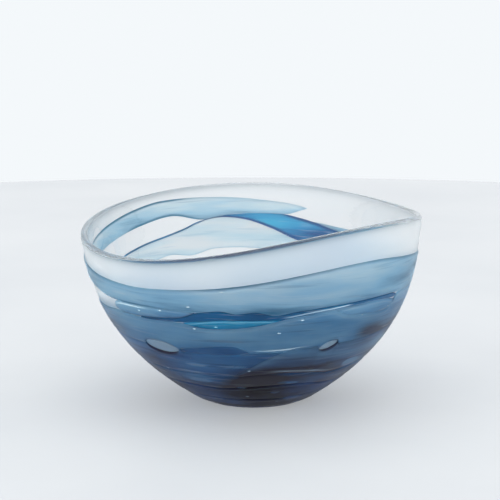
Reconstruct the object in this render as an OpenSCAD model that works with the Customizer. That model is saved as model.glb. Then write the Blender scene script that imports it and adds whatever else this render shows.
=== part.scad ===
// Art glass bowl: a heavy clear glass bowl with wraps of blue glass wound round its outside.
// The origin is the middle of the flat foot, on the table, and +Z is up. Angles are in degrees
// round the bowl: 0 is +X, 90 is +Y, 180 is -X and 270 is -Y. A wrap that passes +X goes on past 360.

/* [Bowl] */
// Outside width at the reference height, in mm
rim_d = 292; // [270:1:310]
// Width of the flat foot
foot_d = 90; // [80:1:100]
// Height at which the outside width is rim_d
reference_h = 170; // [165:1:190]
// Part of the radius that grows as a straight flare
flare = 18; // [10:1:26]
// How soon the side swells out above the foot
fullness = 3.15; // [2.8:0.05:3.8]
// Sideways drift of the bowl's middle at the reference height
lean = -4; // [-5:0.5:5]

/* [Rim] */
// Average height of the rim
rim_h = 154.4; // [150:0.2:160]
// Rise and fall of the tilted rim
tilt_h = 10.4; // [0:0.2:11]
// Direction of the tilt's high side
tilt_a = 38; // [0:1:360]
// Rise and fall of the two high shoulders
sway_h = 6.9; // [0:0.1:8]
// Direction of one of the two high shoulders
sway_a = -58; // [-90:1:90]
// Rise and fall of the hand-cut, three-sided wander
wander_h = 2; // [0:0.1:3]
// Direction of one of the wander's peaks
wander_a = -50; // [-60:1:60]

/* [Wall] */
// Wall thickness at the rim
wall_rim = 5.6; // [4.5:0.1:7]
// Wall thickness at the foot
wall_foot = 12; // [9:0.5:14]
// Height of the inside floor above the table
floor_h = 11; // [10:0.5:16]
// Height over which the inside floor curves up into the side
floor_round = 18; // [14:1:26]

/* [Blue glass] */
// Thickness of the blue disc under the foot
disc_h = 3; // [2:0.5:4]
// How far the wraps stand out from the clear glass
wrap_t = 1.2; // [0.8:0.1:1.6]
// Gap between one wrap and the next
seam = 0.4; // [0.2:0.1:0.8]

/* [Smoothness] */
// Steps round the bowl
sectors = 72; // [48:12:84]
// Steps up the outside of the bowl
side_steps = 16; // [12:1:18]
// Steps down the inside of the bowl
inside_steps = 14; // [10:1:16]
// Steps over the rounded lip
lip_steps = 6; // [4:1:8]
// Steps across a wide wrap
band_steps = 4; // [3:1:5]
// Steps round the foot disc
disc_fn = 96; // [48:12:120]

/* [Hidden] */

// Radius gained by the curved swell of the side, from the foot to the reference height
swell = rim_d/2 - foot_d/2 - flare;
// Step round the bowl, and thickness left along the edges of a wrap
step_a = 360/sectors;
edge_t = 0.3;
// Stand-off that keeps a wrap's flat faces out of the clear glass
seat_gap = 0.02;
// Rounding of the foot disc's lower edge
disc_round = 0.8;
// How round a wrap's section is: 2 is an ellipse, and more is flatter on top
section_power = 4;
// Steps along a wrap's rounded tip, and the share of its height that is left at the very tip
tip_steps = 4;
tip_share = 0.06;

// The edges of the wraps, as [angle, height] points that a smooth curve passes through. Two wraps
// that lie side by side follow the same line, and each keeps half the seam from it.
shoulder_top = [[68, 141.8], [71, 143.6], [77, 146], [100, 151], [125, 150.5], [138, 145.6], [150, 139.6],
                [163, 133], [175, 127.4], [188, 122], [202, 118], [215, 115.6], [232, 114.5], [260, 119.5],
                [297, 133], [314, 135.5], [330, 133], [350, 129], [375, 126], [400, 124.5], [414, 126.4],
                [425, 129.6]];
shoulder_low = [[68, 141.4], [71, 139.2], [75, 136], [80, 135.6], [96, 135.5], [109, 131], [121, 136],
                [135, 131], [150, 123.8], [165, 117.2], [190, 108.6], [205, 102.5], [214, 100], [224, 99.6],
                [238, 99.6], [252, 99], [260, 101], [265, 99], [272, 100.5], [278, 97.5], [285, 100],
                [298, 102.6], [318, 104.5], [330, 104], [336, 103.4], [350, 102.5], [370, 104],
                [390, 112], [405, 118], [415, 123], [425, 129.2]];
tail_top = [[366, 103.5], [370, 104], [390, 112], [405, 118], [415, 123], [425, 129.2], [430, 132],
            [438, 134.8], [456, 134.5], [470, 130]];
tail_low = [[366, 101.5], [385, 101], [405, 102.5], [430, 111], [443, 123], [452, 130], [462, 132.5],
            [470, 129]];
left_low = [[214, 90], [229, 90.2], [240, 92], [246, 94], [252, 98.6]];
waist_top = [[227, 90], [240, 92], [246, 94], [252, 98.6], [260, 101], [265, 99], [272, 100.5],
             [278, 97.5], [285, 100], [298, 102.6], [318, 104.5], [330, 104]];
waist_low = [[227, 88.6], [236, 89], [247, 90.2], [259, 93.2], [272, 93.8], [281, 94.4], [290, 97.4],
             [298, 99.4], [310, 101.6], [320, 101.6], [330, 99]];
bright_low = [[246, 88.2], [252, 86], [260, 86], [268, 87.6], [275, 90.4], [282, 94.4]];
lens_low = [[298, 99], [301, 97], [304, 94], [312, 92], [322, 90.6], [327, 92], [330, 97]];
middle_top = [[126, 86], [150, 89], [175, 88], [202, 88], [214, 90], [227, 88.6], [236, 89],
              [246, 88.2], [252, 86], [260, 86], [268, 87.6], [275, 90.4], [282, 94.4], [290, 97.2],
              [298, 99], [301, 97], [304, 94], [312, 92], [322, 90.6], [327, 92], [329, 97],
              [330.5, 102], [333, 103.6], [336, 103.4], [350, 102.5], [366, 101.5], [385, 101],
              [405, 100], [425, 96], [440, 91], [462, 86]];
middle_low = [[126, 66], [160, 66], [200, 65], [222, 64.6], [232, 69.6], [242, 64.8], [250, 67.8],
              [263, 70.3], [270, 64.6], [283, 65.2], [290, 66.8], [295.6, 67], [300, 71], [304.5, 70.4],
              [310, 68.6], [340, 71.5], [380, 70], [430, 67], [462, 67]];
dark_low = [[240, 61.6], [250, 62.4], [262, 62.8], [270, 63.8]];
lower_top = [[112, 66], [160, 66], [200, 65], [222, 64.4], [232, 59.6], [240, 61.6], [250, 62.4],
             [262, 62.8], [270, 63.8], [275, 64.6], [283, 65.2]];
splice = [[262, 42], [269, 50], [276, 58.5], [283, 65.2]];
lower_low = concat([[112, 38], [170, 42], [233, 41], [254, 40.3]], splice);
lower_tail_top = concat([[260, 41]], splice, [[290, 66.8], [295.6, 65.6], [300, 64.7], [304.5, 68.2],
                 [310, 68.6], [340, 71.5], [380, 70], [430, 67], [468, 67]]);
lower_tail_low = [[260, 40.3], [280, 44], [298, 42], [309, 39.5], [330, 42], [370, 38], [380, 38],
                  [420, 40], [468, 38]];
heel_top = [[20, 38], [60, 40], [112, 38], [170, 42], [233, 41], [254, 40.3], [260, 40.3], [280, 44],
            [298, 42], [309, 39.5], [330, 42], [370, 38], [376, 38]];
heel_low = [[20, 26], [80, 28], [150, 26], [233, 28], [252, 27], [280, 31], [296, 31], [320, 27],
            [376, 26]];
pale_top = [[69, 110.5], [83, 123], [92, 130], [102, 132.5], [110, 129], [117, 122], [125, 117],
            [136, 112], [150, 105]];
pale_low = [[69, 100], [87, 103.6], [105, 104], [115, 99], [124, 101], [134, 98], [150, 103]];
thread_low = [[108, 129.8], [112, 126.8], [117, 122.2], [125, 117.2], [136, 112.2], [150, 105.4]];
// Width of the dark thread, and how far the lowest wrap starts above the foot disc
thread_w = 1.3;
base_gap = 0.4;
// Height at angle a of the line between the two lowest wraps, which goes all the way round
function foot_line(a) = 16.5 - 3.5*cos(a - 225) + 0.8*cos(3*a);

// Outside radius of the clear glass at height z, and how fast it grows there
function side_r(z) =
    foot_d/2 + swell*(1 - pow(max(0, 1 - z/reference_h), fullness)) + flare*z/reference_h;
function side_slope(z) =
    (swell*fullness*pow(max(0, 1 - z/reference_h), fullness - 1) + flare)/reference_h;
// Factor from a thickness square to the side to the same thickness measured level
function level(z) = sqrt(1 + pow(side_slope(z), 2));
// Wall thickness at height z, and the inside radius with its rounded floor
function wall(z) = wall_rim + (wall_foot - wall_rim)*pow(1 - z/reference_h, 3);
function floor_curve(z) = sqrt(1 - pow(max(0, 1 - (z - floor_h)/floor_round), 2));
function inside_r(z) = (side_r(z) - wall(z)*level(z))*floor_curve(z);
// Height of the rim at angle a
function rim_z(a) =
    rim_h + tilt_h*cos(a - tilt_a) + sway_h*cos(2*(a - sway_a)) + wander_h*cos(3*(a - wander_a));
// A point at radius r, angle a and height z, with the bowl's lean
function spot(r, a, z) = [r*cos(a) + lean*z/reference_h, r*sin(a), z];
// A point on the clear glass, moved out by t square to the side
function on_side(a, z, t) = spot(side_r(z) + t/level(z), a, z - t*side_slope(z)/level(z));

// The clear glass in section at angle a: up the outside, over the lip and down the inside
function bowl_section(a) =
    let(lip = wall_rim/2, top = rim_z(a) - lip, middle_r = side_r(top) - lip)
    concat(
        [for (k = [0:side_steps]) let(z = disc_h + (top - disc_h)*pow(k/side_steps, 1.3)) [side_r(z), z]],
        [for (k = [1:lip_steps]) let(t = 180*k/lip_steps) [middle_r + lip*cos(t), top + lip*sin(t)]],
        [for (k = [1:inside_steps - 1]) let(z = floor_h + (top - floor_h)*pow(1 - k/inside_steps, 2))
            [inside_r(z), z]]
    );

// Height of a smooth curve through the points p at angle a
function slope_at(p, k) =
    let(i = max(0, k - 1), j = min(len(p) - 1, k + 1)) (p[j][1] - p[i][1])/(p[j][0] - p[i][0]);
function along(p, a) =
    let(
        k = min(len(p) - 2, max([0, for (i = [0:len(p) - 1]) if (p[i][0] <= a) i])),
        w = p[k + 1][0] - p[k][0],
        t = min(1, max(0, (a - p[k][0])/w))
    )
    p[k][1]*(2*t*t*t - 3*t*t + 1) + slope_at(p, k)*w*(t*t*t - 2*t*t + t)
    + p[k + 1][1]*(3*t*t - 2*t*t*t) + slope_at(p, k + 1)*w*(t*t*t - t*t);

// Angles of a wrap's sections: the bowl's own steps, so that the faces lie flat on each other, with
// closer ones over the rounded tips
function wrap_angles(from, to, tip) =
    concat(
        [for (i = [0:tip_steps - 1]) from + tip*(1 - cos(90*i/tip_steps))],
        [for (i = [ceil((from + tip)/step_a):floor((to - tip)/step_a)]) i*step_a],
        [for (i = [tip_steps - 1:-1:0]) to - tip*(1 - cos(90*i/tip_steps))]
    );
// Share of a wrap's full height at angle a, which rounds off its tips
function tip_curve(a, from, to, tip) =
    let(d = min(1, min(a - from, to - a)/tip)) max(tip_share, sqrt(1 - pow(1 - max(0, d), 2)));
// Thickness across a wrap, where s goes from 0 at its lower edge to 1 at its upper edge
function across(s, t) = max(edge_t, t*pow(1 - pow(abs(2*s - 1), section_power), 1/section_power));

// A wrap of glass lying on the side, between the curves low and high, from one angle to another
module wrap(low, high, from, to, tip, steps = band_steps, t = wrap_t) {
    angles = wrap_angles(from, to, tip);
    last = len(angles) - 1;
    row = 2*(steps + 1);
    points = [
        for (a = angles)
            let(
                share = tip_curve(a, from, to, tip),
                middle = (along(low, a) + along(high, a))/2,
                half = max(0.3, (along(high, a) - along(low, a) - seam)/2*share)
            )
            concat(
                [for (k = [0:steps])
                    on_side(a, middle + half*(2*k/steps - 1), across(k/steps, t*sqrt(share)))],
                [for (k = [steps:-1:0]) on_side(a, middle + half*(2*k/steps - 1), seat_gap)]
            )
    ];
    tube(points, last, row);
}

// Skins a list of closed sections: quads between them, split into triangles, and a flat cap at each end
module tube(sections, last, row) {
    half = row/2;
    sides = [
        for (i = [0:last - 1], k = [0:row - 1])
            let(a = i*row + k, b = i*row + (k + 1) % row, c = a + row, d = b + row)
            each [[a, b, c], [b, d, c]]
    ];
    caps = [
        for (k = [0:half - 2])
            let(a = k, b = k + 1, c = row - 2 - k, d = row - 1 - k, e = last*row)
            each [[a, c, b], [a, d, c], [e + a, e + b, e + c], [e + a, e + c, e + d]]
    ];
    polyhedron([for (s = sections) each s], concat(sides, caps), convexity = 8);
}

// The clear glass: the whole wall, the rounded hand-cut lip and the thick floor
module clear_bowl() {
    sections = [
        for (i = [0:sectors - 1])
            let(a = i*step_a) [for (p = bowl_section(a)) spot(p[0], a, p[1])]
    ];
    row = len(sections[0]);
    under = sectors*row;
    inside = under + 1;
    sides = [
        for (i = [0:sectors - 1], k = [0:row - 2])
            let(a = i*row + k, b = a + 1, c = ((i + 1) % sectors)*row + k, d = c + 1)
            each [[a, b, c], [b, d, c]]
    ];
    ends = [
        for (i = [0:sectors - 1])
            let(a = i*row, c = ((i + 1) % sectors)*row)
            each [[under, a, c], [inside, c + row - 1, a + row - 1]]
    ];
    centres = [spot(0, 0, disc_h), spot(0, 0, floor_h)];
    color([0.93, 0.96, 0.97, 0.45])
        polyhedron(concat([for (s = sections) each s], centres), concat(sides, ends), convexity = 10);
}

// The blue disc that the bowl stands on, with a rounded lower edge
module foot_disc() {
    edge_r = foot_d/2 - disc_round;
    color([0.16, 0.19, 0.27])
        rotate_extrude($fn = disc_fn)
            union() {
                polygon([[0, 0], [edge_r, 0], [edge_r, disc_round], [foot_d/2, disc_round],
                         [side_r(disc_h), disc_h], [0, disc_h]]);
                translate([edge_r, disc_round])
                    intersection() {
                        circle(r = disc_round, $fn = 32);
                        translate([0, -disc_round])
                            square(disc_round);
                    }
            }
}

// The lowest wrap, against the foot disc
module base_wrap() {
    color([0.17, 0.20, 0.29])
        wrap([[60, disc_h + base_gap], [435, disc_h + base_gap]], [for (a = [60:15:435]) [a, foot_line(a)]],
             72, 428, 6);
}

module foot_wrap() {
    color([0.18, 0.23, 0.34])
        wrap([for (a = [15:15:375]) [a, foot_line(a)]], heel_low, 20, 374, 6);
}

module heel_wrap() {
    color([0.20, 0.29, 0.42])
        wrap(heel_low, heel_top, 20, 374, 8);
}

module lower_wrap() {
    color([0.19, 0.27, 0.40])
        wrap(lower_low, lower_top, 112, 282, 9);
}

// The lighter end of the lower wrap, from the front round the right to the back
module lower_tail() {
    color([0.34, 0.43, 0.54])
        wrap(lower_tail_low, lower_tail_top, 261, 468, 8);
}

module middle_wrap() {
    color([0.22, 0.39, 0.54])
        wrap(middle_low, middle_top, 126, 462, 8);
}

// The dark wrap along the lower edge of the top one, which thins out to the right
module waist_wrap() {
    color([0.18, 0.36, 0.52])
        wrap(waist_low, waist_top, 228, 330, 7);
}

// The vivid blue trail in the front
module bright_trail() {
    color([0.29, 0.53, 0.67])
        wrap(bright_low, waist_low, 246, 281.5, 9, steps = 3);
}

// The trails that end under the top wrap, on the left and on the right
module left_trail() {
    color([0.36, 0.51, 0.63])
        wrap(left_low, shoulder_low, 214.5, 251, 6);
}

module lens_trail() {
    color([0.33, 0.49, 0.61])
        wrap(lens_low, waist_low, 299, 330, 7);
}

module dark_lens() {
    color([0.14, 0.20, 0.31])
        wrap(dark_low, middle_low, 241, 268, 9, steps = 3);
}

// The top wrap: it starts at the back on the right, and goes round the back, the left, the front and
// the right to end under its own start
module shoulder_wrap() {
    color([0.45, 0.60, 0.71])
        wrap(shoulder_low, shoulder_top, 68, 425, 3, steps = band_steps + 1);
}

// The denser wrap that starts below the end of the top one and fills the space under its start
module shoulder_tail() {
    color([0.27, 0.53, 0.70])
        wrap(tail_low, tail_top, 367, 469, 8);
}

module pale_wrap() {
    color([0.72, 0.84, 0.92])
        wrap(pale_low, pale_top, 69, 148, 8);
}

// The dark thread that slants down to the left in the back
module diagonal_thread() {
    color([0.18, 0.36, 0.52])
        wrap(thread_low, [for (p = thread_low) [p[0], p[1] + thread_w]], 108, 150, 4, steps = 2);
}

clear_bowl();
foot_disc();
base_wrap();
foot_wrap();
heel_wrap();
lower_wrap();
lower_tail();
middle_wrap();
waist_wrap();
bright_trail();
left_trail();
lens_trail();
dark_lens();
shoulder_wrap();
shoulder_tail();
pale_wrap();
diagonal_thread();
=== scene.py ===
import math

import bpy
import numpy as np
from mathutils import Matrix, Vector


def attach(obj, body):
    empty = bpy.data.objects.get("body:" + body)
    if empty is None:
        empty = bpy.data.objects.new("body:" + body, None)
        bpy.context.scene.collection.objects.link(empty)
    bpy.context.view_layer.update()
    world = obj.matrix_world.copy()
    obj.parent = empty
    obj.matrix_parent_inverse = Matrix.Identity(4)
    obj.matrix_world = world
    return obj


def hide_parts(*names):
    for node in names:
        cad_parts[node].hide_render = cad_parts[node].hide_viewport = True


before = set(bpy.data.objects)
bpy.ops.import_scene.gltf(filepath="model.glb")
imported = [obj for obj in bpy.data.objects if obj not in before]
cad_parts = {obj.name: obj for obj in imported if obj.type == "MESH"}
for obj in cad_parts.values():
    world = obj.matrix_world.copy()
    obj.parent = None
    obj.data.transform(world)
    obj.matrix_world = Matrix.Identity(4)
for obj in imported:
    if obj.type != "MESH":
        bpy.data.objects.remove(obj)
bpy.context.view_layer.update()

MM = 0.001

# The bowl's driving dimensions
RIM_R, FOOT_R, REFERENCE_H = 146.0, 45.0, 170.0
FLARE, FULLNESS, LEAN = 18.0, 3.15, -4.0
RIM_H = 154.37  # 0.03 under the CAD's, whose steps round the bowl miss the rim's very top
RIM_WAVES = [(1, 10.4, 38), (2, 6.9, -58), (3, 2.0, -50)]  # lobes, height, angle of a peak
WALL_RIM, WALL_FOOT = 5.6, 12.0
FLOOR_H, FLOOR_ROUND = 11.0, 18.0
DISC_H, WRAP_T = 3.0, 1.2
SWELL = RIM_R - FOOT_R - FLARE
FACET = 0.05  # the CAD's flat facets lie this far inside its curves, so the visual model does too

# The edges of the wraps, as (angle, height) points that a smooth curve passes through. A wrap that
# passes +X goes on past 360. They are the CAD's points, except that TAIL_TOP ends 0.5 mm higher, so that
# no gap shows under the top wrap's start.
SHOULDER_TOP = [(68, 141.8), (71, 143.6), (77, 146), (100, 151), (125, 150.5), (138, 145.6), (150, 139.6),
                (163, 133), (175, 127.4), (188, 122), (202, 118), (215, 115.6), (232, 114.5),
                (260, 119.5), (297, 133), (314, 135.5), (330, 133), (350, 129), (375, 126), (400, 124.5),
                (414, 126.4), (425, 129.6)]
SHOULDER_LOW = [(68, 141.4), (71, 139.2), (75, 136), (80, 135.6), (96, 135.5), (109, 131), (121, 136),
                (135, 131), (150, 123.8), (165, 117.2), (190, 108.6), (205, 102.5), (214, 100), (224, 99.6),
                (238, 99.6), (252, 99), (260, 101), (265, 99), (272, 100.5), (278, 97.5), (285, 100),
                (298, 102.6), (318, 104.5), (330, 104), (336, 103.4), (350, 102.5), (370, 104),
                (390, 112), (405, 118), (415, 123), (425, 129.2)]
TAIL_TOP = [(366, 103.5), (370, 104), (390, 112), (405, 118), (415, 123), (425, 129.2), (430, 132),
            (438, 135.3), (456, 135.0), (470, 130.5)]
TAIL_LOW = [(366, 101.5), (385, 101), (405, 102.5), (430, 111), (443, 123), (452, 130), (462, 132.5),
            (470, 129)]
LEFT_LOW = [(214, 90), (229, 90.2), (240, 92), (246, 94), (252, 98.6)]
WAIST_TOP = [(227, 90), (240, 92), (246, 94), (252, 98.6), (260, 101), (265, 99), (272, 100.5),
             (278, 97.5), (285, 100), (298, 102.6), (318, 104.5), (330, 104)]
WAIST_LOW = [(227, 88.6), (236, 89), (247, 90.2), (259, 93.2), (272, 93.8), (281, 94.4), (290, 97.4),
             (298, 99.4), (310, 101.6), (320, 101.6), (330, 99)]
BRIGHT_LOW = [(246, 88.2), (252, 86), (260, 86), (268, 87.6), (275, 90.4), (282, 94.4)]
LENS_LOW = [(298, 99), (301, 97), (304, 94), (312, 92), (322, 90.6), (327, 92), (330, 97)]
MIDDLE_TOP = [(126, 86), (150, 89), (175, 88), (202, 88), (214, 90), (227, 88.6), (236, 89),
              (246, 88.2), (252, 86), (260, 86), (268, 87.6), (275, 90.4), (282, 94.4), (290, 97.2),
              (298, 99), (301, 97), (304, 94), (312, 92), (322, 90.6), (327, 92), (329, 97),
              (330.5, 102), (333, 103.6), (336, 103.4), (350, 102.5), (366, 101.5), (385, 101),
              (405, 100), (425, 96), (440, 91), (462, 86)]
# The line that the middle and lower wraps share, and its clear windows, rounder here than in the CAD:
# angle, half width, half height, tilt
WAIST_LINE = [(112, 66), (160, 66), (200, 65), (224, 64.5), (240, 64.6), (252, 64.4), (262, 64.6),
              (269, 64.3), (275, 64.6), (283, 65.2), (290, 66.8), (300, 68), (310, 68.6), (340, 71.5),
              (380, 70), (430, 67), (468, 67)]
WINDOWS = [(232, 8.2, 5.0, -0.1), (300.3, 3.7, 3.3, 0.55)]
DARK_FROM, DARK_TO = 241, 269  # the small dark lens lies on that line between these angles
DARK_TOP = [(240, 65), (250, 68), (263, 70.4), (270, 65)]
DARK_LOW = [(240, 61.6), (250, 62.4), (262, 62.8), (270, 63.8)]
SPLICE = [(262, 42), (269, 50), (276, 58.5), (283, 65.2)]
LOWER_LOW = [(112, 38), (170, 42), (233, 41), (254, 40.3)] + SPLICE
TAIL_START = [(260, 41)] + SPLICE
LOWER_TAIL_LOW = [(260, 40.3), (280, 44), (298, 42), (309, 39.5), (330, 42), (370, 38), (380, 38),
                  (420, 40), (468, 38)]
HEEL_TOP = [(20, 38), (60, 40), (112, 38), (170, 42), (233, 41), (254, 40.3), (260, 40.3), (280, 44),
            (298, 42), (309, 39.5), (330, 42), (370, 38), (376, 38)]
HEEL_LOW = [(20, 26), (80, 28), (150, 26), (233, 28), (252, 27), (280, 31), (296, 31), (320, 27),
            (376, 26)]
PALE_TOP = [(69, 110.5), (83, 123), (92, 130), (102, 132.5), (110, 129), (117, 122), (125, 117),
            (136, 112), (150, 105)]
PALE_LOW = [(69, 100), (87, 103.6), (105, 104), (115, 99), (124, 101), (134, 98), (150, 103)]
THREAD_LOW = [(108, 129.8), (112, 126.8), (117, 122.2), (125, 117.2), (136, 112.2), (150, 105.4)]
THREAD_W = 1.3
THREAD_TOP = [(a, z + THREAD_W) for a, z in THREAD_LOW]
BASE_GAP = 0.4  # how far the lowest wrap starts above the foot disc


def foot_line(a):
    """Height of the line between the two lowest wraps."""
    return 16.5 - 3.5 * np.cos(np.radians(a - 225)) + 0.8 * np.cos(np.radians(3 * a))


def base_line(a):
    """Height of the lowest wrap's lower edge, just above the foot disc."""
    return DISC_H + BASE_GAP + 0 * a


# ---------------------------------------------------------------- shape of the glass


def window_edges(a, side):
    """How far the wrap above (side 1) or below (side -1) draws back from the shared line at angle a."""
    shift = 0 * a
    for centre, half_width, half_height, tilt in WINDOWS:
        across = (a - centre) / half_width
        open_here = np.sqrt(np.maximum(0, 1 - across**2))
        shift = shift + side * half_height * open_here + tilt * (a - centre) * (np.abs(across) < 1)
    return shift


def middle_low(a):
    """Lower edge of the middle wrap, which draws back for the windows and the dark lens."""
    dark = np.where((a > DARK_FROM) & (a < DARK_TO), along(DARK_TOP, a), 0)
    return np.maximum(along(WAIST_LINE, a) + window_edges(a, 1), dark)


def lower_top(a):
    """Upper edge of the lower wrap, which draws back in the same way."""
    dark = np.where((a > DARK_FROM) & (a < DARK_TO), along(DARK_LOW, a), REFERENCE_H)
    return np.minimum(along(WAIST_LINE, a) + window_edges(a, -1), dark)


def lower_tail_top(a):
    """Upper edge of the lower wrap's tail: its slanting start in the front, then the shared line."""
    return np.where(a < SPLICE[-1][0], np.minimum(along(TAIL_START, a), lower_top(a)), lower_top(a))


def side_r(z):
    """Outside radius of the clear glass at height z."""
    up = np.maximum(0, 1 - z / REFERENCE_H)
    return FOOT_R + SWELL * (1 - up**FULLNESS) + FLARE * z / REFERENCE_H


def side_slope(z):
    """How fast that radius grows with the height."""
    up = np.maximum(0, 1 - z / REFERENCE_H)
    return (SWELL * FULLNESS * up ** (FULLNESS - 1) + FLARE) / REFERENCE_H


def level(z):
    """Factor from a thickness square to the side to the same thickness measured level."""
    return np.sqrt(1 + side_slope(z) ** 2)


def inside_r(z):
    """Inside radius at height z, with the rounded floor."""
    wall = WALL_RIM + (WALL_FOOT - WALL_RIM) * (1 - z / REFERENCE_H) ** 3
    curve = np.sqrt(1 - np.maximum(0, 1 - (z - FLOOR_H) / FLOOR_ROUND) ** 2)
    return (side_r(z) - wall * level(z)) * curve


def rim_z(a):
    """Height of the rim at angle a."""
    return RIM_H + sum(h * np.cos(np.radians(n * (a - peak))) for n, h, peak in RIM_WAVES)


def spot(r, a, z):
    """Points in metres at radius r, angle a and height z, with the bowl's lean."""
    a, r = np.radians(a), r - FACET
    return np.stack([r * np.cos(a) + LEAN * z / REFERENCE_H, r * np.sin(a), z + 0 * r], axis=-1) * MM


def on_side(a, z, t):
    """Points on the clear glass, moved out by t square to the side."""
    return spot(side_r(z) + t / level(z), a, z - t * side_slope(z) / level(z))


def along(points, a):
    """Height at angle a of the smooth curve through points, or of a curve that is a function."""
    if callable(points):
        return points(a)
    x, y = (np.array(v, float) for v in zip(*points))
    last = len(x) - 1
    i, j = np.maximum(np.arange(last + 1) - 1, 0), np.minimum(np.arange(last + 1) + 1, last)
    slope = (y[j] - y[i]) / (x[j] - x[i])
    k = np.clip(np.searchsorted(x, a, side="right") - 1, 0, last - 1)
    w = x[k + 1] - x[k]
    t = np.clip((a - x[k]) / w, 0, 1)
    return (y[k] * (2 * t**3 - 3 * t**2 + 1) + slope[k] * w * (t**3 - 2 * t**2 + t)
            + y[k + 1] * (3 * t**2 - 2 * t**3) + slope[k + 1] * w * (t**3 - t**2))


def waviness(a, z, seed):
    """Slow unevenness of hand-worked glass, between about -1 and 1, the same all the way round."""
    a = np.radians(a)
    return (0.45 * np.sin(3 * a + 0.05 * z + seed) + 0.3 * np.sin(7 * a - 0.09 * z + 2.1 * seed)
            + 0.25 * np.sin(2 * a + 0.21 * z + 3.7 * seed))


def make_mesh(name, points, faces, slots=None, attributes=None):
    """A smooth object from points in metres, with a number for each point under each attribute's name."""
    mesh = bpy.data.meshes.new(name)
    mesh.from_pydata(points.reshape(-1, 3).tolist(), [], faces)
    mesh.polygons.foreach_set("use_smooth", [True] * len(faces))
    if slots is not None:
        mesh.polygons.foreach_set("material_index", slots)
    for key, values in (attributes or {}).items():
        mesh.attributes.new(key, "FLOAT", "POINT").data.foreach_set("value", values.ravel())
    mesh.update()
    piece = bpy.data.objects.new(name, mesh)
    bpy.context.collection.objects.link(piece)
    return piece


LIP_FADE = 3.0      # how far the painted shade at the lip reaches down the wall
LIP_SHADE = 0.75     # strength of that painted shade, averaged round the bowl
LIP_SWING = 0.35    # how far its strength changes round the bowl
LIP_PALEST = 60     # angle at which it is weakest
LOW_SHADE_TOP = 98.0     # below this height the clear glass is painted a darker grey-blue, as painted shade
LOW_SHADE_FADE = 10.0    # height over which that painted shade comes in
INNER_WAVE = 0.25   # how far the inside is out of round


def clear_glass(materials):
    """The wall, the lip and the floor: satin outside, polished inside and over the lip."""
    sectors, side_steps, lip_steps, inside_steps = 360, 84, 12, 72
    a = np.arange(sectors)[:, None] * 360 / sectors
    lip = WALL_RIM / 2
    top = rim_z(a) - lip
    # The steps are closer together near the foot and near the inside's floor
    up = np.linspace(0, 1, side_steps + 1)[None, :] ** 1.25
    z_side = DISC_H + (top - DISC_H) * up
    side = spot(side_r(z_side), a, z_side)
    turn = np.radians(180 * np.arange(1, lip_steps + 1) / lip_steps)[None, :]
    z_lip = top + lip * np.sin(turn)
    over = spot(side_r(top) - lip + lip * np.cos(turn), a, z_lip)
    down = 1 - np.arange(1, inside_steps)[None, :] / inside_steps
    z_in = FLOOR_H + (top - FLOOR_H) * down**2
    wave = INNER_WAVE * waviness(a, z_in, 1.0) * np.sin(np.pi * down) ** 0.5
    inner = spot(inside_r(z_in) + wave, a, z_in)
    rings = np.concatenate([side, over, inner], axis=1)
    row = rings.shape[1]
    middles = np.array([[0, 0, DISC_H * MM], [LEAN * FLOOR_H / REFERENCE_H * MM, 0, FLOOR_H * MM]])
    points = np.concatenate([rings.reshape(-1, 3), middles])
    from_lip = np.concatenate([np.maximum(0, top - z_side), 0 * z_lip, np.maximum(0, top - z_in)], axis=1)
    # Painted shade: grey along the lip, stronger on some sides of the bowl, and grey-blue low down
    lip_shade = np.exp(-from_lip / LIP_FADE) * (LIP_SHADE - LIP_SWING * np.cos(np.radians(a - LIP_PALEST)))
    low = np.clip((LOW_SHADE_TOP - np.concatenate([z_side, z_lip, z_in], axis=1)) / LOW_SHADE_FADE, 0, 1)
    looks = {"lip": np.append(lip_shade, [0, 0]), "low": np.append(low, [0, 0])}
    under, centre = sectors * row, sectors * row + 1
    faces, slots = [], []
    for i in range(sectors):
        here, there = i * row, (i + 1) % sectors * row
        faces += [(here + k, there + k, there + k + 1, here + k + 1) for k in range(row - 1)]
        slots += [0 if k < side_steps else 1 for k in range(row - 1)]
        faces += [(under, there, here), (centre, here + row - 1, there + row - 1)]
        slots += [0, 1]
    piece = make_mesh("clear_bowl_glass", points, faces, slots, looks)
    for material in materials:
        piece.data.materials.append(material)
    return piece


def foot_glass(material):
    """The disc under the foot, with a rounded lower edge, set a little into the clear glass above it."""
    sectors, rounding, into_wall = 180, 0.8, 0.3
    rings_under, rings_over = (12, 26, 38, 42), (40, 24, 10)
    top = DISC_H + into_wall
    turn = np.radians(np.linspace(0, 90, 7))
    edge = [(FOOT_R - rounding + rounding * math.sin(t), rounding - rounding * math.cos(t)) for t in turn]
    rise = [(side_r(z), z) for z in np.linspace(rounding, top, 5)[1:]]
    section = [(r, 0.0) for r in rings_under] + edge + rise + [(r, top) for r in rings_over]
    r, z = (np.array(v)[None, :] for v in zip(*section))
    a = np.arange(sectors)[:, None] * 360 / sectors
    rings = spot(r + 0 * a, a, z + 0 * a)
    row = rings.shape[1]
    points = np.concatenate([rings.reshape(-1, 3), [[0, 0, 0], [0, 0, top * MM]]])
    under, over = sectors * row, sectors * row + 1
    faces = []
    for i in range(sectors):
        here, there = i * row, (i + 1) % sectors * row
        faces += [(here + k, there + k, there + k + 1, here + k + 1) for k in range(row - 1)]
        faces += [(under, there, here), (over, here + row - 1, there + row - 1)]
    even = np.full(len(points), 0.5)
    piece = make_mesh("foot_disc_glass", points, faces, attributes={"line_and_highlight": even, "tone": even})
    piece.data.materials.append(material)
    return piece


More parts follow.
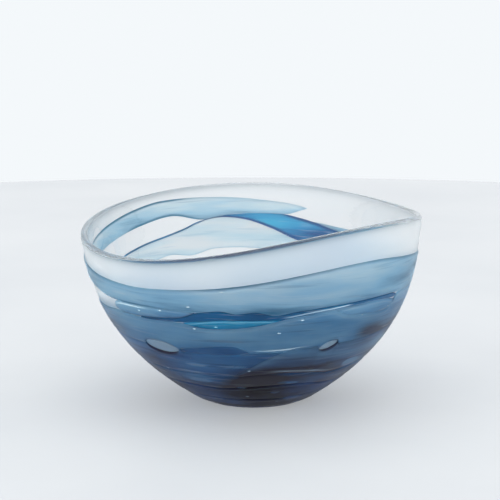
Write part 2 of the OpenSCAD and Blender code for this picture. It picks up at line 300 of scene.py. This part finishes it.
EDGE_ROUND = 3.0   # width of a wrap's rounded edge
EDGE_START = 0.5   # share of its thickness that a wrap has at that edge
SINK = 0.35        # how deep a wrap sits in the clear glass
LAP = 0.15         # how far a wrap laps over the line that it shares with its neighbour
TIP_SHARE = 0.02   # share of its width that a wrap has at its very tip
LEAST_HALF = 0.35  # half the width of the narrowest wrap
UNEVEN = 0.12      # share of its thickness by which a wrap is uneven
ACROSS = 26        # steps across a wrap
CLOSER = 0.6       # how much closer together they are near its edges, from 0 to 1
LINE = 1.3         # width of the dense line along a beaded edge
BEAD = 0.5         # how far that line swells out
MOST_BEAD = 1.2    # the strength from which a stronger line swells no further
# The pale line beside a beaded edge is a painted highlight
HIGHLIGHT_WIDTH = 0.6        # width of the pale line beside it
HIGHLIGHT_PLACE = 2.1  # how far that lies from the edge, in widths of the dense line
TIP_LINE = 1.1     # width in degrees of the dense line across a wrap's end


def wrap_angles(start, end, tips):
    """Angles of a wrap's sections, closer together over its tips and beside the windows."""
    ease = 1 - np.cos(np.arange(16) / 16 * np.pi / 2)
    body = np.arange(math.ceil(start + tips[0]), math.floor(end - tips[1]) + 1)
    near = [centre + half_width * np.cos(np.linspace(0, np.pi, 33)) for centre, half_width, _, _ in WINDOWS]
    near = [x for x in np.concatenate(near) if start + tips[0] < x < end - tips[1]]
    return np.unique(np.round(np.concatenate([start + tips[0] * ease, body, near, end - tips[1] * ease]), 3))


# Places where the blue is darker (above 0) or paler: angle, height, half width, half height, amount
PATCHES = [
    # the right side, the left side and stretches of the low front are darker,
    # and the middle of the foot's front is painted shade
    (340, 92, 12, 40, 0.8), (320, 76, 9, 6, 1.6), (200, 92, 12, 40, 0.5),
    (272, 22, 26, 13, 0.8), (272, 34, 12, 13, 1.9), (292, 48, 14, 2.2, 1.2), (222, 50, 12, 9, 0.7),
    (242, 58, 12, 4, 0.6),
    # the top wrap darkens towards the waist, and the wraps beside a window darken towards it
    (272, 100, 26, 5, 0.9), (232, 57, 9, 2.5, 0.6), (262, 60, 14, 3, 0.4), (60, 121, 14, 9, 0.9),
    # thinner places
    (290, 116, 24, 9, -0.35), (250, 78, 26, 7, -0.4), (298, 80, 14, 7, -0.3),
    (326, 45, 7, 3.5, -1.3), (336, 60, 8, 6, -1.5), (243, 37, 9, 3.5, -1.0), (300, 30, 5, 2.5, -1.0),
    (286, 34, 6, 1.5, -0.8), (318, 20, 14, 8, -0.8), (95, 143, 30, 8, -0.2), (118, 109, 16, 5, -1.2),
    (84, 127, 8, 5, -0.5),
    # paler stretches of the foot
    (234, 20, 16, 9, -0.7), (252, 9, 9, 2, -0.9), (340, 14, 10, 4, -0.9),
]
# Small pale lenses in the blue, and their tone: angle, height, half width, half height
LENS_TONE = -1.5
LENSES = [
    (242.5, 34.5, 7, 2.6), (240, 12.5, 9, 1.2), (245.5, 51, 6, 1.6), (261.5, 51.5, 7, 1.4),
    (290, 33, 3.6, 1.5), (299, 13.5, 8, 2.2), (311.5, 5.5, 7, 1.5), (263.5, 28.5, 3, 0.9),
    (320, 46, 6, 4.6), (283, 22.5, 3, 0.9),
]


def tone_at(a, z):
    """How much darker or paler than usual the blue is at angle a and height z, painted shade included."""
    tone = 0 * a + 0 * z
    for angle, height, half_a, half_z, amount in PATCHES:
        turn = (a - angle + 180) % 360 - 180
        tone = tone + amount * np.exp(-((turn / half_a) ** 2) - ((z - height) / half_z) ** 2)
    for angle, height, half_a, half_z in LENSES:
        turn = (a - angle + 180) % 360 - 180
        inside = np.clip(2 - 2 * (turn / half_a) ** 2 - 2 * ((z - height) / half_z) ** 2, 0, 1)
        tone = tone * (1 - inside) + LENS_TONE * inside
    return tone


def strength(value, a):
    """A line's strength at angle a, from one number or from (angle, strength) points."""
    return np.maximum(0, along(value, a)) if isinstance(value, list) else value + 0 * a


def wrap_glass(name, low, high, start, end, tip, material, low_line=0.1, high_line=0.1, width=1.0,
               highlight_and_pale=(0.0, 0.0), rise=1.0, tip_line=0.0, shade=(0.25, -0.25), seed=0.0):
    """A wrap between the curves low and high, from the angle start to the angle end.

    tip is how many degrees long its rounded tips are, as one number or two. low_line and high_line say
    how dense and how swollen its edges are, width how wide those lines are, and the pair of highlight
    strengths how pale the painted highlight a little inside each of them is. rise is its thickness as a
    share of the usual one, tip_line how dense the line across its end is, and shade how much darker the
    blue is at the low and at the high edge. seed sets where it is uneven.
    """
    tips = tip if isinstance(tip, tuple) else (tip, tip)
    a = wrap_angles(start, end, tips)[:, None]
    reach = np.clip(np.minimum((a - start) / tips[0], (end - a) / tips[1]), 0, 1)
    share = np.maximum(TIP_SHARE, np.sqrt(1 - (1 - reach) ** 2))
    z_low, z_high = along(low, a[:, 0])[:, None], along(high, a[:, 0])[:, None]
    middle, half = (z_low + z_high) / 2, np.maximum(LEAST_HALF, (z_high - z_low) / 2 + LAP) * share
    # Steps across are closer together near the edges, where the section curves most
    s = 0.5 - 0.5 * np.cos(np.pi * np.arange(ACROSS + 1) / ACROSS)[None, :]
    s = CLOSER * s + (1 - CLOSER) * np.linspace(0, 1, ACROSS + 1)[None, :]
    from_low, from_high = 2 * half * s, 2 * half * (1 - s)
    edge = np.minimum(1, np.minimum(from_low, from_high) / np.minimum(EDGE_ROUND, half))
    z = middle + half * (2 * s - 1)
    crown = EDGE_START + (1 - EDGE_START) * np.sqrt(1 - (1 - edge) ** 2)
    lines = [(strength(low_line, a), from_low, highlight_and_pale[0]), (strength(high_line, a), from_high, highlight_and_pale[1])]
    dense = sum(power * np.exp(-(far / (LINE * width)) ** 2) for power, far, _ in lines)
    # A painted highlight: a pale line a little inside each beaded edge
    inset = HIGHLIGHT_PLACE * LINE * width
    painted_highlight = sum(strength(g, a) * np.exp(-((far - inset) / HIGHLIGHT_WIDTH) ** 2) for _, far, g in lines)
    bead = [np.minimum(MOST_BEAD, power) * np.exp(-((far / (LINE * width) - 1) ** 2))
            for power, far, _ in lines]
    swell = BEAD * np.sqrt(share) * sum(bead)
    body = WRAP_T * rise * (1 - UNEVEN + UNEVEN * waviness(a, z, seed)) * share**0.5 + SINK
    out = body * crown + swell * np.sqrt(1 - (1 - edge) ** 2) - SINK
    outer = on_side(a + 0 * s, z, out)
    seat = on_side(a + 0 * s, z, -SINK + 0 * out)
    rings = np.concatenate([outer, seat[:, ::-1]], axis=1)
    row, last = rings.shape[1], rings.shape[0] - 1
    faces = []
    for i in range(last):
        here, there = i * row, (i + 1) * row
        faces += [(here + k, there + k, there + (k + 1) % row, here + (k + 1) % row) for k in range(row)]
    for k in range(row // 2 - 1):
        low_cap = (k, k + 1, row - 2 - k, row - 1 - k)
        faces += [low_cap, tuple(last * row + v for v in reversed(low_cap))]
    if tip_line:
        dense = dense + tip_line * np.exp(-((end - a) / TIP_LINE) ** 2)
    # 0 in a painted highlight, 0.5 in the body of a wrap, 1 in the middle of a dense line
    line_and_highlight = 0.5 + 0.5 * np.clip(dense, 0, 1) - 0.5 * np.clip(painted_highlight, 0, 1)
    tone = tone_at(a, z) + shade[0] + (shade[1] - shade[0]) * s
    looks = {"line_and_highlight": line_and_highlight, "tone": tone}
    looks = {key: np.concatenate([v, v[:, ::-1]], axis=1) for key, v in looks.items()}
    piece = make_mesh(name + "_glass", rings, faces, attributes=looks)
    piece.data.materials.append(material)
    return piece


# ---------------------------------------------------------------- materials


BLUE_ROUGHNESS = 0.36      # the satin of the wraps
SEED_CELLS = 45.0          # cells per metre round the bowl, some of which hold a seed
SEED_EDGE = (0.085, 0.05)  # where a seed begins and where it is full, in widths of a cell
SEED_SHARE = (0.62, 0.64)  # a cell whose random number is above this holds a seed
BUMP_HEIGHT = 0.0004       # in metres


def glass_shader(name, roughness, ior=1.5):
    """A new glass material, with its node tree and its shader."""
    material = bpy.data.materials.new(name)
    material.use_nodes = True
    tree = material.node_tree
    shader = tree.nodes["Principled BSDF"]
    shader.inputs["Transmission Weight"].default_value = 1.0
    shader.inputs["Roughness"].default_value = roughness
    shader.inputs["IOR"].default_value = ior
    return material, tree, shader


def streaks(tree, scale, detail, stretch=7.0):
    """Noise, drawn out round the bowl by stretch as the streaks of wound glass are."""
    place = tree.nodes.new("ShaderNodeTexCoord")
    mapping = tree.nodes.new("ShaderNodeMapping")
    mapping.inputs["Scale"].default_value = (1, 1, stretch)
    noise = tree.nodes.new("ShaderNodeTexNoise")
    noise.inputs["Scale"].default_value = scale
    noise.inputs["Detail"].default_value = detail
    tree.links.new(place.outputs["Object"], mapping.inputs["Vector"])
    tree.links.new(mapping.outputs["Vector"], noise.inputs["Vector"])
    return noise.outputs["Fac"]


def blend_colours(tree, factor, first, second):
    """A mix by factor of two colours, each of them a tuple or another node's output."""
    mix = tree.nodes.new("ShaderNodeMix")
    mix.data_type = "RGBA"
    tree.links.new(factor, mix.inputs["Factor"])
    for socket, colour in (("A", first), ("B", second)):
        target = [i for i in mix.inputs if i.name == socket and i.type == "RGBA"][0]
        if isinstance(colour, tuple):
            target.default_value = (*colour, 1)
        else:
            tree.links.new(colour, target)
    return [o for o in mix.outputs if o.type == "RGBA"][0]


def ramp(tree, value, low, high, top=1.0, bottom=0.0):
    """value, spread from low..high to bottom..top."""
    node = tree.nodes.new("ShaderNodeMapRange")
    node.inputs["From Min"].default_value = low
    node.inputs["From Max"].default_value = high
    node.inputs["To Min"].default_value = bottom
    node.inputs["To Max"].default_value = top
    tree.links.new(value, node.inputs["Value"])
    return node.outputs["Result"]


def combine(tree, operation, first, second):
    """The result of one arithmetic operation on two values."""
    node = tree.nodes.new("ShaderNodeMath")
    node.operation = operation
    tree.links.new(first, node.inputs[0])
    tree.links.new(second, node.inputs[1])
    return node.outputs["Value"]


def named(tree, name):
    """The mesh's attribute of that name."""
    node = tree.nodes.new("ShaderNodeAttribute")
    node.attribute_name = name
    return node.outputs["Fac"]


def seeds(tree):
    """Seeds, the tiny drawn-out bubbles of blown glass: 1 inside one, 0 between them."""
    place = tree.nodes.new("ShaderNodeTexCoord")
    mapping = tree.nodes.new("ShaderNodeMapping")
    mapping.inputs["Scale"].default_value = (1, 1, 3)
    cells = tree.nodes.new("ShaderNodeTexVoronoi")
    cells.inputs["Scale"].default_value = SEED_CELLS
    pick = tree.nodes.new("ShaderNodeSeparateColor")
    tree.links.new(place.outputs["Object"], mapping.inputs["Vector"])
    tree.links.new(mapping.outputs["Vector"], cells.inputs["Vector"])
    tree.links.new(cells.outputs["Color"], pick.inputs["Color"])
    inside = ramp(tree, cells.outputs["Distance"], *SEED_EDGE)
    return combine(tree, "MULTIPLY", inside, ramp(tree, pick.outputs["Red"], *SEED_SHARE))


def bumps(tree, shader, fine, height, blisters):
    """Slow drawn-out unevenness of the surface, and if asked a blister over every seed."""
    relief = ramp(tree, streaks(tree, fine, 3.0, 3.0), 0.0, 1.0, height)
    if blisters:
        relief = combine(tree, "ADD", relief, seeds(tree))
    bump = tree.nodes.new("ShaderNodeBump")
    bump.inputs["Strength"].default_value = 1.0
    bump.inputs["Distance"].default_value = BUMP_HEIGHT
    tree.links.new(relief, bump.inputs["Height"])
    tree.links.new(bump.outputs["Normal"], shader.inputs["Normal"])


def clear_material(name, roughness, light, dark, lip_shade, low_shade, clarity=1.0):
    """Clear glass: slow streaks between light and dark, painted grey shade at the lip, grey-blue low down.

    clarity is the share of the light that goes straight into the glass. The rest scatters at its surface.
    """
    material, tree, shader = glass_shader(name, roughness)
    shader.inputs["Transmission Weight"].default_value = clarity
    body = blend_colours(tree, ramp(tree, streaks(tree, 14.0, 2.0), 0.35, 0.65), light, dark)
    # Painted shade: grey at the lip, then grey-blue low down
    lipped = blend_colours(tree, named(tree, "lip"), body, lip_shade)
    tint = blend_colours(tree, named(tree, "low"), lipped, low_shade)
    tree.links.new(tint, shader.inputs["Base Color"])
    bumps(tree, shader, 30.0, 0.2, False)
    return material


def blue_material(name, light, dark, edge, highlight_and_pale, gloss=0.3, clarity=0.94, ior=1.33):
    """Blue glass: streaks between light and dark, dense along beaded edges, milky in painted highlights.

    The attribute that marks the edges is 0 in a painted highlight, 0.5 in the body of a wrap and 1 in the
    middle of a dense line. The tone attribute shifts the body towards light or dark, above 1 towards the
    edge's colour and below 0 towards the pale colour of the painted highlights, which also colours the
    pale lenses and paler places.
    """
    material, tree, shader = glass_shader(name, BLUE_ROUGHNESS, ior)
    shader.inputs["Specular IOR Level"].default_value = gloss
    # Painted highlights: less light passes straight through in the highlights and the seeds, so they scatter
    # milky white
    clear_outside_highlights = ramp(tree, named(tree, "line_and_highlight"), 0.0, 0.4, clarity, 0.25)
    clear_outside_seed_highlights = ramp(tree, seeds(tree), 0.0, 1.0, 0.3, 1.0)
    tree.links.new(combine(tree, "MULTIPLY", clear_outside_highlights, clear_outside_seed_highlights), shader.inputs["Transmission Weight"])
    wound = ramp(tree, streaks(tree, 12.0, 4.0), 0.36, 0.66)
    toned = combine(tree, "ADD", wound, named(tree, "tone"))
    body = blend_colours(tree, ramp(tree, toned, 0.0, 1.0), light, dark)
    denser = blend_colours(tree, ramp(tree, toned, 1.0, 2.0), body, edge)
    paled = blend_colours(tree, ramp(tree, toned, -0.3, -1.3, 0.85), denser, highlight_and_pale)
    # Painted highlights: thin threads of the pale colour
    highlight_threads = ramp(tree, streaks(tree, 30.0, 1.0, 16.0), 0.62, 0.72, 0.3)
    streaked = blend_colours(tree, highlight_threads, paled, highlight_and_pale)
    dark_threads = ramp(tree, streaks(tree, 18.0, 1.0, 22.0), 0.40, 0.28, 0.35)
    dimmed = blend_colours(tree, dark_threads, streaked, edge)
    # Painted highlights on the seeds
    seed_highlights = blend_colours(tree, ramp(tree, seeds(tree), 0.0, 1.0, 0.8), dimmed, highlight_and_pale)
    lined = blend_colours(tree, ramp(tree, named(tree, "line_and_highlight"), 0.5, 1.0), seed_highlights, edge)
    # Painted highlight: the pale colour in the line a little inside each beaded edge
    tint = blend_colours(tree, ramp(tree, named(tree, "line_and_highlight"), 0.5, 0.0), lined, highlight_and_pale)
    tree.links.new(tint, shader.inputs["Base Color"])
    bumps(tree, shader, 22.0, 0.5, True)
    return material


# The third colour of each clear glass is its painted shade at the lip, the fourth its painted shade low down
SATIN = clear_material("clear_satin", 0.40, (0.98, 0.995, 0.999), (0.95, 0.98, 0.99),
                       (0.40, 0.47, 0.51), (0.38, 0.53, 0.62), clarity=0.74)
POLISHED = clear_material("clear_polished", 0.02, (0.99, 0.997, 0.999), (0.98, 0.99, 0.995),
                          (0.62, 0.68, 0.71), (0.96, 0.98, 0.985))
SKY = blue_material("sky_glass", (0.75, 0.92, 0.985), (0.42, 0.71, 0.89), (0.03, 0.20, 0.35),
                    (0.90, 0.96, 0.99))
BRIGHT = blue_material("bright_glass", (0.03, 0.54, 0.84), (0.008, 0.32, 0.66), (0.002, 0.08, 0.30),
                       (0.45, 0.85, 0.97))
STEEL = blue_material("steel_glass", (0.46, 0.77, 0.95), (0.18, 0.47, 0.73), (0.05, 0.09, 0.19),
                      (0.78, 0.92, 0.98))
DEEP = blue_material("deep_glass", (0.03, 0.36, 0.66), (0.01, 0.20, 0.45), (0.003, 0.07, 0.20),
                     (0.65, 0.86, 0.96))
SLATE = blue_material("slate_glass", (0.26, 0.53, 0.76), (0.10, 0.21, 0.40), (0.035, 0.03, 0.075),
                      (0.6, 0.76, 0.87), gloss=0.15)
NAVY = blue_material("navy_glass", (0.115, 0.40, 0.71), (0.035, 0.17, 0.42), (0.024, 0.018, 0.055),
                     (0.52, 0.72, 0.88), gloss=0.15)
INK = blue_material("ink_glass", (0.07, 0.17, 0.42), (0.014, 0.018, 0.08), (0.006, 0.003, 0.02),
                    (0.35, 0.47, 0.68), gloss=0.1, clarity=0.99, ior=1.2)
PALE = blue_material("pale_glass", (0.92, 0.97, 0.99), (0.66, 0.86, 0.95), (0.26, 0.52, 0.68),
                     (0.94, 0.98, 0.99))

# ---------------------------------------------------------------- the pieces

# Along a wrap, (angle, strength) of its edges' dense lines and of the painted highlights beside them
SHOULDER_TOP_LINE = [(66, 0.2), (100, 0.3), (114, 0.6), (122, 1.8), (150, 2.6), (166, 1.6), (185, 0.8),
                     (205, 0.8), (222, 0.3), (236, 0.2), (250, 0.4), (262, 0.9), (285, 0.7), (305, 0.5),
                     (328, 0.8), (350, 0.7), (380, 0.4), (424, 0.3)]
SHOULDER_LOW_LINE = [(66, 0.3), (104, 0.4), (112, 1.4), (124, 2.2), (138, 2.2), (145, 0.3), (170, 0.1),
                     (190, 0.3), (214, 1.2), (220, 2.0), (232, 1.6), (240, 0.3), (250, 0.2), (320, 0.4),
                     (335, 0.2), (424, 0.4)]
TAIL_LOW_LINE = [(366, 0.3), (410, 0.6), (425, 5.0), (436, 5.0), (450, 2.4), (456, 1.6), (470, 1.4)]
TAIL_TOP_LINE = [(366, 0.3), (400, 0.5), (414, 2.5), (424, 4.5), (432, 4.5), (438, 0.5), (470, 0.2)]
WAIST_TOP_LINE = [(227, 0.4), (245, 0.5), (285, 0.5), (300, 0.8), (315, 0.9), (330, 1.0)]
WAIST_LOW_LINE = [(227, 0.6), (250, 0.8), (276, 0.8), (282, 0.2), (330, 0.3)]
WAIST_LOW_HIGHLIGHT = [(227, 0.0), (279, 0.0), (283, 0.7), (296, 0.9), (303, 1.3), (307, 0.0), (330, 0.0)]
LEFT_HIGHLIGHT = [(214, 0.2), (219, 0.9), (229, 0.8), (235, 0.0), (251, 0.0)]
MIDDLE_LOW_LINE = [(126, 0.2), (222, 0.2), (226, 0.9), (238, 0.9), (242, 0.2), (296, 0.2), (299, 0.6),
                   (303, 1.4), (305, 0.2), (462, 0.2)]
MIDDLE_LOW_HIGHLIGHT = [(126, 0.0), (267, 0.0), (273, 0.7), (284, 0.9), (291, 0.3), (296, 0.0), (462, 0.0)]
LOWER_TOP_LINE = [(112, 0.2), (222, 0.2), (226, 1.6), (237, 1.3), (242, 0.2), (282, 0.2)]
LOWER_LOW_HIGHLIGHT = [(112, 0.0), (230, 0.0), (235, 0.5), (245, 0.6), (251, 0.0), (282, 0.0)]
LOWER_TAIL_HIGHLIGHT = [(261, 0.0), (275, 0.0), (281, 0.6), (300, 0.7), (312, 0.2), (318, 0.0), (468, 0.0)]
LOWER_TAIL_LINE = [(261, 0.1), (295, 0.2), (298, 1.0), (303.5, 1.6), (306, 0.3), (468, 0.2)]
WRAPS = [
    # node, lower edge, upper edge, from, to, tip, glass, how the edges look
    ("base_wrap", base_line, foot_line, 72, 428, 6, INK, {"highlight_and_pale": (0.0, 0.2), "shade": (0.4, 0.2)}),
    ("foot_wrap", foot_line, HEEL_LOW, 20, 374, 6, INK, {"highlight_and_pale": (0.0, 0.3), "shade": (0.3, -0.3)}),
    ("heel_wrap", HEEL_LOW, HEEL_TOP, 20, 374, 8, NAVY, {"high_line": 0.0, "shade": (1.1, 0.3)}),
    ("lower_wrap", LOWER_LOW, lower_top, 112, 282, 9, NAVY,
     {"low_line": 0.0, "high_line": LOWER_TOP_LINE, "highlight_and_pale": (LOWER_LOW_HIGHLIGHT, 0.0), "shade": (0.3, -0.3)}),
    ("lower_tail", LOWER_TAIL_LOW, lower_tail_top, 261, 468, 8, SLATE,
     {"low_line": 0.0, "high_line": LOWER_TAIL_LINE, "highlight_and_pale": (LOWER_TAIL_HIGHLIGHT, 0.0),
      "shade": (1.3, -0.5)}),
    ("middle_wrap", middle_low, MIDDLE_TOP, 126, 462, 8, STEEL,
     {"low_line": MIDDLE_LOW_LINE, "high_line": 0.0, "highlight_and_pale": (MIDDLE_LOW_HIGHLIGHT, 0.3),
      "shade": (0.5, -0.2)}),
    ("waist_wrap", WAIST_LOW, WAIST_TOP, 228, 330, 7, DEEP,
     {"low_line": WAIST_LOW_LINE, "high_line": WAIST_TOP_LINE, "width": 0.6, "highlight_and_pale": (WAIST_LOW_HIGHLIGHT, 0.0),
      "shade": (0.5, 0.4)}),
    ("bright_trail", BRIGHT_LOW, WAIST_LOW, 246, 281.5, 9, BRIGHT,
     {"low_line": 1.2, "width": 0.5, "highlight_and_pale": (0.0, 0.5), "rise": 0.9, "shade": (-0.7, -0.7)}),
    ("left_trail", LEFT_LOW, SHOULDER_LOW, 214.5, 251, 6, STEEL,
     {"low_line": 1.0, "width": 0.7, "highlight_and_pale": (0.0, LEFT_HIGHLIGHT), "shade": (0.3, -0.3)}),
    ("lens_trail", LENS_LOW, WAIST_LOW, 299, 330, (6, 7), STEEL,
     {"low_line": 0.2, "highlight_and_pale": (0.0, 0.35), "tip_line": 1.4, "shade": (0.2, 0.2)}),
    ("dark_lens", DARK_LOW, DARK_TOP, DARK_FROM, DARK_TO, 9, NAVY, {"low_line": 0.3, "shade": (0.3, -0.2)}),
    ("shoulder_wrap", SHOULDER_LOW, SHOULDER_TOP, 68, 425, (1.5, 3), SKY,
     {"low_line": SHOULDER_LOW_LINE, "high_line": SHOULDER_TOP_LINE, "width": 1.15, "highlight_and_pale": (0.0, 0.2),
      "shade": (0.6, -0.1)}),
    ("shoulder_tail", TAIL_LOW, TAIL_TOP, 367, 469, 8, BRIGHT,
     {"low_line": TAIL_LOW_LINE, "high_line": TAIL_TOP_LINE, "width": 1.3, "shade": (0.7, 0.1)}),
    ("pale_wrap", PALE_LOW, PALE_TOP, 69, 148, 8, PALE,
     {"low_line": 0.8, "high_line": 0.2, "width": 0.6, "shade": (0.3, 0.1)}),
    ("diagonal_thread", THREAD_LOW, THREAD_TOP, 108, 150, 4, DEEP, {"shade": (0.8, 0.8)}),
]


def build_bowl():
    """Makes the glass pieces, and puts each in the place of its CAD node."""
    pieces = [("clear_bowl", clear_glass([SATIN, POLISHED])), ("foot_disc", foot_glass(INK))]
    for seed, (node, low, high, start, end, tip, material, looks) in enumerate(WRAPS):
        piece = wrap_glass(node, low, high, start, end, tip, material, seed=float(seed), **looks)
        pieces.append((node, piece))
    for node, piece in pieces:
        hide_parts(node)
        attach(piece, "root")


# ---------------------------------------------------------------- floor, light and camera


FLOOR_R = 1.5
FLOOR_DARK, FLOOR_LIGHT = (0.318, 0.326, 0.337), (0.349, 0.355, 0.362)


def build_floor():
    """A plain pale table top, whose far edge lies behind the bowl."""
    steps = 180
    turn = [2 * math.pi * i / steps for i in range(steps)]
    ring = [(FLOOR_R * math.cos(t), FLOOR_R * math.sin(t), 0) for t in turn]
    mesh = bpy.data.meshes.new("floor")
    mesh.from_pydata(ring, [], [tuple(range(steps))])
    floor = bpy.data.objects.new("floor", mesh)
    bpy.context.collection.objects.link(floor)
    material = bpy.data.materials.new("pale_floor")
    material.use_nodes = True
    tree = material.node_tree
    shader = tree.nodes["Principled BSDF"]
    shader.inputs["Roughness"].default_value = 0.6
    shader.inputs["Specular IOR Level"].default_value = 0.25
    tint = blend_colours(tree, ramp(tree, streaks(tree, 3.0, 4.0, 1.0), 0.3, 0.7),
                         FLOOR_DARK, FLOOR_LIGHT)
    tree.links.new(tint, shader.inputs["Base Color"])
    mesh.materials.append(material)


# The room's light by where it comes from: the front and the back wall, and above them the ceiling in
# the front and the windows at the back
FRONT_LIGHT = (1.66, 1.68, 1.7)
BACK_LIGHT = (0.905, 0.94, 0.965)
WINDOW_LIGHT = (1.35, 1.38, 1.41)
CEILING_LIGHT = (1.0, 1.02, 1.04)
# The directions between which the front changes to the back and the walls to what is above them
FRONT_TO_BACK, WALL_TO_TOP = (-0.8, 0.9), (0.12, 0.6)
# Lamps at the sides: place, width, power in watts and colour
SIDE_LAMPS = {
    "right": ((1.5, -0.5, 0.7), 1.0, 6.0, (1, 1, 1)),
    "left": ((-1.3, -0.6, 0.3), 0.8, 6.0, (0.88, 0.96, 1.0)),
}
FILL_LIGHT, FILL_ANGLE, FILL_COLOUR = 3.6, 1.0, (0.97, 0.99, 1.0)
BOWL_MIDDLE = (0, 0, 0.08)


def lamp(name, kind, place, power, colour):
    """A lamp that lights the glass and the floor without showing in either."""
    light = bpy.data.lights.new(name, kind)
    light.energy, light.color = power, colour
    holder = bpy.data.objects.new(name, light)
    bpy.context.collection.objects.link(holder)
    holder.location = place
    holder.visible_glossy = holder.visible_transmission = False
    point_at(holder, BOWL_MIDDLE)
    return light


def point_at(thing, target):
    """Turns a lamp or a camera, whose own -Z looks ahead, towards target."""
    thing.rotation_euler = (Vector(target) - Vector(thing.location)).to_track_quat("-Z", "Y").to_euler()


def build_light():
    """A plain white room, brightest in front of the bowl and in the high windows behind it."""
    world = bpy.data.worlds.new("studio")
    bpy.context.scene.world = world
    world.use_nodes = True
    tree = world.node_tree
    background = tree.nodes["Background"]
    place = tree.nodes.new("ShaderNodeTexCoord")
    parts = tree.nodes.new("ShaderNodeSeparateXYZ")
    tree.links.new(place.outputs["Generated"], parts.inputs["Vector"])
    back = ramp(tree, parts.outputs["Y"], *FRONT_TO_BACK)
    high = ramp(tree, parts.outputs["Z"], *WALL_TO_TOP)
    wall = blend_colours(tree, back, FRONT_LIGHT, BACK_LIGHT)
    window = blend_colours(tree, back, CEILING_LIGHT, WINDOW_LIGHT)
    tree.links.new(blend_colours(tree, high, wall, window), background.inputs["Color"])
    for name, (place, width, power, colour) in SIDE_LAMPS.items():
        lamp(name, "AREA", place, power, colour).size = width
    # The room's light from everywhere above, which fills the shadow under the bowl
    fill = lamp("fill", "SUN", (0, 0, 2), FILL_LIGHT, FILL_COLOUR)
    fill.angle = FILL_ANGLE
    fill.use_shadow = False


# The camera: where it stands, what it looks at, and its focal length in mm on a sensor 36 mm wide
CAMERA_PLACE, CAMERA_AIM = (0, -1.2227, 0.3399), (-0.0034, 0, 0.1254)
FOCAL_LENGTH, SENSOR_WIDTH = 105.5, 36.0


def build_camera():
    """The camera, in front of the bowl and a little above its rim."""
    camera = bpy.data.cameras.new("camera")
    camera.lens, camera.sensor_width = FOCAL_LENGTH, SENSOR_WIDTH
    viewer = bpy.data.objects.new("camera", camera)
    bpy.context.collection.objects.link(viewer)
    viewer.location = CAMERA_PLACE
    point_at(viewer, CAMERA_AIM)
    bpy.context.scene.camera = viewer


def set_picture():
    """Enough bounces for light to pass through both walls of the bowl and all its wraps."""
    scene = bpy.context.scene
    scene.view_settings.view_transform = "Standard"
    cycles = scene.cycles
    cycles.use_denoising = True
    cycles.max_bounces, cycles.transmission_bounces = 28, 28
    cycles.glossy_bounces, cycles.diffuse_bounces, cycles.transparent_max_bounces = 8, 4, 32
    cycles.caustics_reflective = cycles.caustics_refractive = True
    cycles.blur_glossy = 0.5


build_bowl()
build_floor()
build_light()
build_camera()
set_picture()
